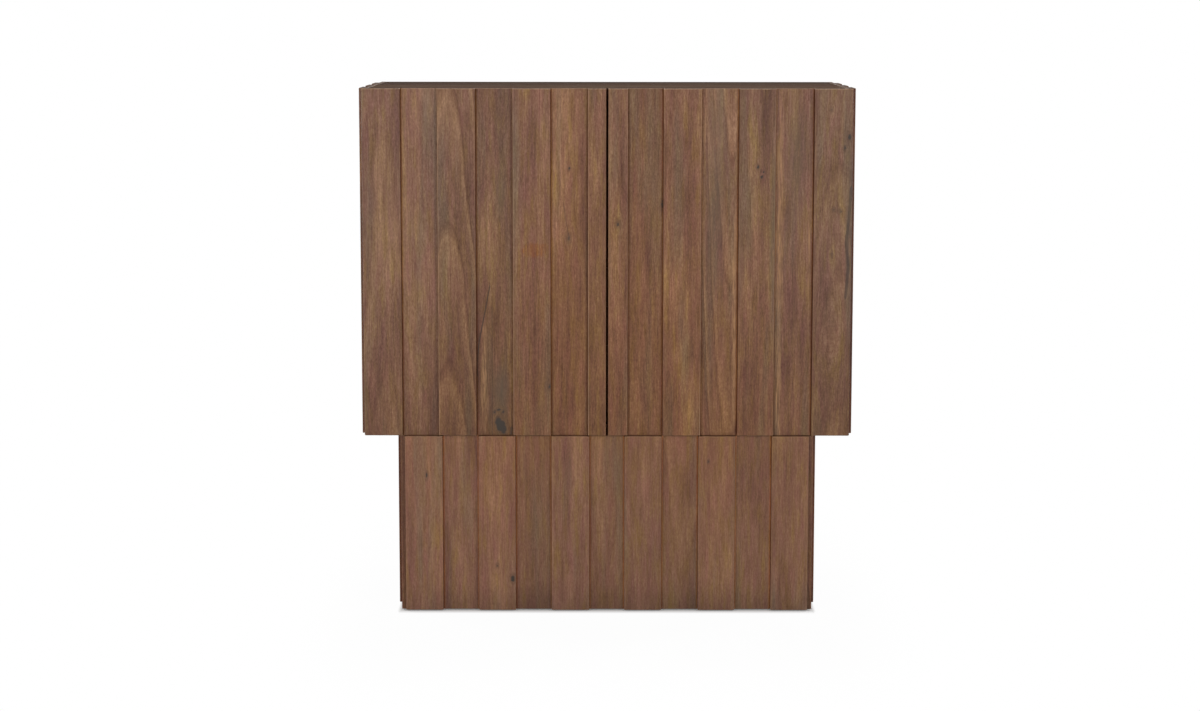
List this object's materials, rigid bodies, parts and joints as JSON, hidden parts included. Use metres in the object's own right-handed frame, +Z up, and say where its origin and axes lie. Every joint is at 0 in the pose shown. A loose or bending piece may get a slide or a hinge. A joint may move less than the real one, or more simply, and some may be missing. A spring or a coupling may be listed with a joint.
{
  "type": "bar cabinet",
  "caption": "Bar cabinet with hinged doors faced in alternating proud and recessed wood staves on a narrower stave-faced base; shelf, bottle rack and stemware rails inside.",
  "frame": {"origin": "on the floor under the middle of the cabinet's bounding box", "axes": "+Z up, +X to the right seen from the front, +Y to the back; the doors face -Y"},
  "size_m": [1.067, 0.508, 1.14],
  "materials": {
    "stave_wood": "satin walnut-brown oil",
    "top_wood": "satin walnut-brown oil",
    "panel_wood": "matt brown stain",
    "inner_wood": "matt brown oil",
    "hinge_metal": "dark bronze",
    "latch_plastic": "matt",
    "strike_steel": "brushed",
    "glide_plastic": "matt",
    "bolt_steel": "zinc plated"
  },
  "bodies": {
    "case": {"back_panel": "panel_wood", "base_back_panel": "panel_wood", "base_corner_blocks": "panel_wood", "base_front_panel": "panel_wood", "base_glides": "glide_plastic", "base_side_panels": "panel_wood", "base_stave_1": "stave_wood", "base_stave_10": "stave_wood", "base_stave_11": "stave_wood", "base_stave_2": "stave_wood", "base_stave_3": "stave_wood", "base_stave_4": "stave_wood", "base_stave_5": "stave_wood", "base_stave_6": "stave_wood", "base_stave_7": "stave_wood", "base_stave_8": "stave_wood", "base_stave_9": "stave_wood", "base_top_plate": "panel_wood", "bottom_panel": "panel_wood", "case_bolts": "bolt_steel", "centre_partition": "inner_wood", "hinge_case_leaves": "hinge_metal", "hinge_pins": "hinge_metal", "latch_housings": "latch_plastic", "left_base_staves": "stave_wood", "left_side_panel": "panel_wood", "left_side_staves": "stave_wood", "rack_shelves": "inner_wood", "rack_uprights": "inner_wood", "right_base_staves": "stave_wood", "right_side_panel": "panel_wood", "right_side_staves": "stave_wood", "shelf": "inner_wood", "stemware_rails": "inner_wood", "top_panel": "top_wood"},
    "left_door": {"left_door_panel": "panel_wood", "left_door_stave_1": "stave_wood", "left_door_stave_2": "stave_wood", "left_door_stave_3": "stave_wood", "left_door_stave_4": "stave_wood", "left_door_stave_5": "stave_wood", "left_door_stave_6": "stave_wood", "left_door_stave_7": "stave_wood", "left_hinge_door_leaves": "hinge_metal", "left_strike": "strike_steel"},
    "right_door": {"right_door_panel": "panel_wood", "right_door_stave_1": "stave_wood", "right_door_stave_2": "stave_wood", "right_door_stave_3": "stave_wood", "right_door_stave_4": "stave_wood", "right_door_stave_5": "stave_wood", "right_door_stave_6": "stave_wood", "right_door_stave_7": "stave_wood", "right_hinge_door_leaves": "hinge_metal", "right_strike": "strike_steel"},
    "left_plunger": {"left_plunger": "latch_plastic"},
    "right_plunger": {"right_plunger": "latch_plastic"}
  },
  "joints": [
    {"name": "left_door_swing", "type": "hinge", "parent": "case", "child": "left_door", "pos_m": [-0.5255, -0.223, 0.765], "axis": [0, 0, -1], "range_deg": [0, 100]},
    {"name": "right_door_swing", "type": "hinge", "parent": "case", "child": "right_door", "pos_m": [0.5255, -0.223, 0.765], "axis": [0, 0, 1], "range_deg": [0, 100]},
    {"name": "left_plunger_travel", "type": "slide", "parent": "case", "child": "left_plunger", "axis": [0, -1, 0], "range_m": [0, 0.012]},
    {"name": "right_plunger_travel", "type": "slide", "parent": "case", "child": "right_plunger", "axis": [0, -1, 0], "range_m": [0, 0.012]}
  ],
  "couplings": [
    {"joint": "left_plunger_travel", "follows": "left_door_swing", "m_per_rad": 0.006875},
    {"joint": "right_plunger_travel", "follows": "right_door_swing", "m_per_rad": 0.006875}
  ]
}
